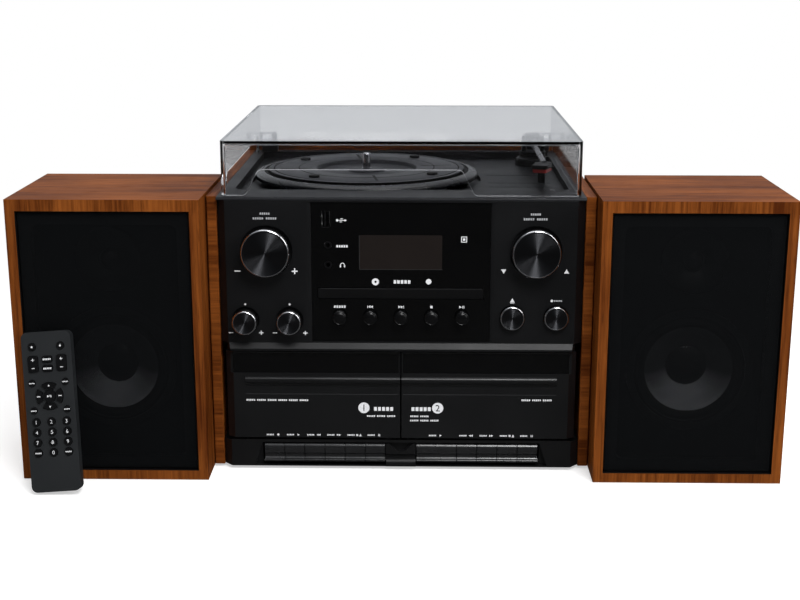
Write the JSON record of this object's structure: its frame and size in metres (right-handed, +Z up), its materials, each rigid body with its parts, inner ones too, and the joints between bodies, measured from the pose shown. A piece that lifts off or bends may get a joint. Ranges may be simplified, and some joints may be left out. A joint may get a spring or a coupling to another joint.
{
  "type": "stereo music centre",
  "caption": "Wood-sided stereo music centre: record player under a clear lid, radio and disc player, double cassette deck, detached loudspeakers and remote control.",
  "frame": {"origin": "centre of the whole set's footprint, on the surface it stands on", "axes": "+X to the right seen from the front, +Y from the front to the back, +Z up"},
  "size_m": [0.6336, 0.3485, 0.2805],
  "materials": {
    "wood_veneer": "satin walnut veneer with visible grain",
    "black_plastic": "finely textured black moulding",
    "gloss_black": "polished black panel",
    "spun_metal": "black spun metal cap with bright rim",
    "bright_metal": "polished metal",
    "clear_lid": "tinted clear acrylic",
    "platter_black": "satin turned face",
    "dark_metal": "dark grey plated sheet",
    "circuit": "solder-resist green board",
    "paper_cone": "pressed paper cone",
    "grille_cloth": "stretched black cloth",
    "soft_rubber": "silicone rubber"
  },
  "bodies": {
    "main_unit": {"wood_cabinet": "wood_veneer", "base_tray": "black_plastic", "rear_cover": "black_plastic", "front_fascia": "black_plastic", "display_panel": "gloss_black", "key_panel": "black_plastic", "sockets": "bright_metal", "turntable_deck": "black_plastic", "spindle": "bright_metal", "tonearm_base": "black_plastic", "cassette_mechanisms": "dark_metal", "cd_loader": "black_plastic", "circuit_boards": "circuit", "lid_hinges": "black_plastic"},
    "lid": {"dust_cover": "clear_lid"},
    "disc_drawer": {"cd_tray": "black_plastic"},
    "left_door": {"cassette_door_left": "black_plastic", "door_window_left": "gloss_black"},
    "right_door": {"cassette_door_right": "black_plastic", "door_window_right": "gloss_black"},
    "platter": {"platter": "platter_black"},
    "arm_turret": {"tonearm_turret": "black_plastic"},
    "arm": {"tonearm": "dark_metal"},
    "left_speaker": {"left_speaker_cabinet": "wood_veneer", "left_speaker_woofer_frame": "dark_metal", "left_speaker_woofer_cone": "paper_cone", "left_speaker_tweeter": "black_plastic", "left_speaker_grille": "grille_cloth"},
    "right_speaker": {"right_speaker_cabinet": "wood_veneer", "right_speaker_woofer_frame": "dark_metal", "right_speaker_woofer_cone": "paper_cone", "right_speaker_tweeter": "black_plastic", "right_speaker_grille": "grille_cloth"},
    "remote": {"remote_shell": "black_plastic", "remote_keypad": "soft_rubber"},
    "volume_plunger": {"volume_shaft": "bright_metal"},
    "volume_knob": {"volume_knob": "spun_metal"},
    "scroll_plunger": {"scroll_shaft": "bright_metal"},
    "scroll_knob": {"scroll_knob": "spun_metal"},
    "bass_knob": {"bass_knob": "spun_metal"},
    "treble_knob": {"treble_knob": "spun_metal"},
    "speed_switch": {"speed_switch": "black_plastic"},
    "eject_button": {"eject_button": "spun_metal"},
    "record_button": {"record_button": "spun_metal"},
    "info_button": {"info_button": "gloss_black"},
    "previous_button": {"previous_button": "gloss_black"},
    "next_button": {"next_button": "gloss_black"},
    "stop_button": {"stop_button": "gloss_black"},
    "play_button": {"play_button": "gloss_black"},
    "key_left_record": {"key_left_record": "black_plastic"},
    "key_left_play": {"key_left_play": "black_plastic"},
    "key_left_rewind": {"key_left_rewind": "black_plastic"},
    "key_left_forward": {"key_left_forward": "black_plastic"},
    "key_left_stop": {"key_left_stop": "black_plastic"},
    "key_left_pause": {"key_left_pause": "black_plastic"},
    "key_right_play": {"key_right_play": "black_plastic"},
    "key_right_rewind": {"key_right_rewind": "black_plastic"},
    "key_right_forward": {"key_right_forward": "black_plastic"},
    "key_right_stop": {"key_right_stop": "black_plastic"},
    "key_right_pause": {"key_right_pause": "black_plastic"}
  },
  "joints": [
    {"name": "lid_hinge", "type": "hinge", "parent": "main_unit", "child": "lid", "pos_m": [0, 0.16525, 0.2465], "axis": [-1, 0, 0], "range_deg": [0, 65]},
    {"name": "drawer_slide", "type": "slide", "parent": "main_unit", "child": "disc_drawer", "axis": [0, -1, 0], "range_m": [0, 0.13]},
    {"name": "left_door_hinge", "type": "hinge", "parent": "main_unit", "child": "left_door", "pos_m": [-0.074, -0.10675, 0.0316], "axis": [1, 0, 0], "range_deg": [0, 25]},
    {"name": "right_door_hinge", "type": "hinge", "parent": "main_unit", "child": "right_door", "pos_m": [0.074, -0.10675, 0.0316], "axis": [1, 0, 0], "range_deg": [0, 25]},
    {"name": "platter_spin", "type": "hinge", "parent": "main_unit", "child": "platter", "pos_m": [-0.0335, 0.02625, 0.2355], "axis": [0, 0, -1], "continuous": true},
    {"name": "arm_swing", "type": "hinge", "parent": "main_unit", "child": "arm_turret", "pos_m": [0.124, 0.11025, 0.2355], "axis": [0, 0, -1], "range_deg": [0, 45]},
    {"name": "arm_lift", "type": "hinge", "parent": "arm_turret", "child": "arm", "pos_m": [0.124, 0.11025, 0.25], "axis": [-1, 0, 0], "range_deg": [0, 10]},
    {"name": "left_speaker_slide", "type": "slide", "parent": "main_unit", "child": "left_speaker", "axis": [-0.5, 0.866, 0], "range_m": [0, 0.25]},
    {"name": "right_speaker_slide", "type": "slide", "parent": "main_unit", "child": "right_speaker", "axis": [0.5, 0.866, 0], "range_m": [0, 0.25]},
    {"name": "remote_lift", "type": "slide", "parent": "main_unit", "child": "remote", "axis": [0, -0.5, 0.866], "range_m": [0, 0.2]},
    {"name": "volume_turn", "type": "hinge", "parent": "volume_plunger", "child": "volume_knob", "pos_m": [-0.111, -0.11175, 0.1907], "axis": [0, 1, 0], "continuous": true},
    {"name": "scroll_turn", "type": "hinge", "parent": "scroll_plunger", "child": "scroll_knob", "pos_m": [0.111, -0.11175, 0.1907], "axis": [0, 1, 0], "continuous": true},
    {"name": "bass_turn", "type": "hinge", "parent": "main_unit", "child": "bass_knob", "pos_m": [-0.1295, -0.11175, 0.1318], "axis": [0, 1, 0], "range_deg": [-140, 140]},
    {"name": "treble_turn", "type": "hinge", "parent": "main_unit", "child": "treble_knob", "pos_m": [-0.0926, -0.11175, 0.1318], "axis": [0, 1, 0], "range_deg": [-140, 140]},
    {"name": "speed_slide", "type": "slide", "parent": "main_unit", "child": "speed_switch", "axis": [0, 1, 0], "range_m": [0, 0.012]},
    {"name": "volume_push", "type": "slide", "parent": "main_unit", "child": "volume_plunger", "axis": [0, 1, 0], "range_m": [0, 0.001], "stiffness_N_per_m": 1000, "springref_m": -0.001},
    {"name": "scroll_push", "type": "slide", "parent": "main_unit", "child": "scroll_plunger", "axis": [0, 1, 0], "range_m": [0, 0.001], "stiffness_N_per_m": 1000, "springref_m": -0.001},
    {"name": "eject_press", "type": "slide", "parent": "main_unit", "child": "eject_button", "axis": [0, 1, 0], "range_m": [0, 0.0015], "stiffness_N_per_m": 800, "springref_m": -0.001},
    {"name": "record_press", "type": "slide", "parent": "main_unit", "child": "record_button", "axis": [0, 1, 0], "range_m": [0, 0.0015], "stiffness_N_per_m": 800, "springref_m": -0.001},
    {"name": "info_press", "type": "slide", "parent": "main_unit", "child": "info_button", "axis": [0, 1, 0], "range_m": [0, 0.0012], "stiffness_N_per_m": 800, "springref_m": -0.001},
    {"name": "previous_press", "type": "slide", "parent": "main_unit", "child": "previous_button", "axis": [0, 1, 0], "range_m": [0, 0.0012], "stiffness_N_per_m": 800, "springref_m": -0.001},
    {"name": "next_press", "type": "slide", "parent": "main_unit", "child": "next_button", "axis": [0, 1, 0], "range_m": [0, 0.0012], "stiffness_N_per_m": 800, "springref_m": -0.001},
    {"name": "stop_press", "type": "slide", "parent": "main_unit", "child": "stop_button", "axis": [0, 1, 0], "range_m": [0, 0.0012], "stiffness_N_per_m": 800, "springref_m": -0.001},
    {"name": "play_press", "type": "slide", "parent": "main_unit", "child": "play_button", "axis": [0, 1, 0], "range_m": [0, 0.0012], "stiffness_N_per_m": 800, "springref_m": -0.001},
    {"name": "key_left_record_press", "type": "hinge", "parent": "main_unit", "child": "key_left_record", "pos_m": [-0.1078, -0.08075, 0.017], "axis": [1, 0, 0], "range_deg": [0, 4.5], "stiffness_Nm_per_rad": 0.5, "springref_deg": -5.73},
    {"name": "key_left_play_press", "type": "hinge", "parent": "main_unit", "child": "key_left_play", "pos_m": [-0.0906, -0.08075, 0.017], "axis": [1, 0, 0], "range_deg": [0, 4.5], "stiffness_Nm_per_rad": 0.5, "springref_deg": -5.73},
    {"name": "key_left_rewind_press", "type": "hinge", "parent": "main_unit", "child": "key_left_rewind", "pos_m": [-0.0734, -0.08075, 0.017], "axis": [1, 0, 0], "range_deg": [0, 4.5], "stiffness_Nm_per_rad": 0.5, "springref_deg": -5.73},
    {"name": "key_left_forward_press", "type": "hinge", "parent": "main_unit", "child": "key_left_forward", "pos_m": [-0.0562, -0.08075, 0.017], "axis": [1, 0, 0], "range_deg": [0, 4.5], "stiffness_Nm_per_rad": 0.5, "springref_deg": -5.73},
    {"name": "key_left_stop_press", "type": "hinge", "parent": "main_unit", "child": "key_left_stop", "pos_m": [-0.039, -0.08075, 0.017], "axis": [1, 0, 0], "range_deg": [0, 4.5], "stiffness_Nm_per_rad": 0.5, "springref_deg": -5.73},
    {"name": "key_left_pause_press", "type": "hinge", "parent": "main_unit", "child": "key_left_pause", "pos_m": [-0.0218, -0.08075, 0.017], "axis": [1, 0, 0], "range_deg": [0, 4.5], "stiffness_Nm_per_rad": 0.5, "springref_deg": -5.73},
    {"name": "key_right_play_press", "type": "hinge", "parent": "main_unit", "child": "key_right_play", "pos_m": [0.0304, -0.08075, 0.017], "axis": [1, 0, 0], "range_deg": [0, 4.5], "stiffness_Nm_per_rad": 0.5, "springref_deg": -5.73},
    {"name": "key_right_rewind_press", "type": "hinge", "parent": "main_unit", "child": "key_right_rewind", "pos_m": [0.0562, -0.08075, 0.017], "axis": [1, 0, 0], "range_deg": [0, 4.5], "stiffness_Nm_per_rad": 0.5, "springref_deg": -5.73},
    {"name": "key_right_forward_press", "type": "hinge", "parent": "main_unit", "child": "key_right_forward", "pos_m": [0.0734, -0.08075, 0.017], "axis": [1, 0, 0], "range_deg": [0, 4.5], "stiffness_Nm_per_rad": 0.5, "springref_deg": -5.73},
    {"name": "key_right_stop_press", "type": "hinge", "parent": "main_unit", "child": "key_right_stop", "pos_m": [0.0906, -0.08075, 0.017], "axis": [1, 0, 0], "range_deg": [0, 4.5], "stiffness_Nm_per_rad": 0.5, "springref_deg": -5.73},
    {"name": "key_right_pause_press", "type": "hinge", "parent": "main_unit", "child": "key_right_pause", "pos_m": [0.1078, -0.08075, 0.017], "axis": [1, 0, 0], "range_deg": [0, 4.5], "stiffness_Nm_per_rad": 0.5, "springref_deg": -5.73}
  ]
}
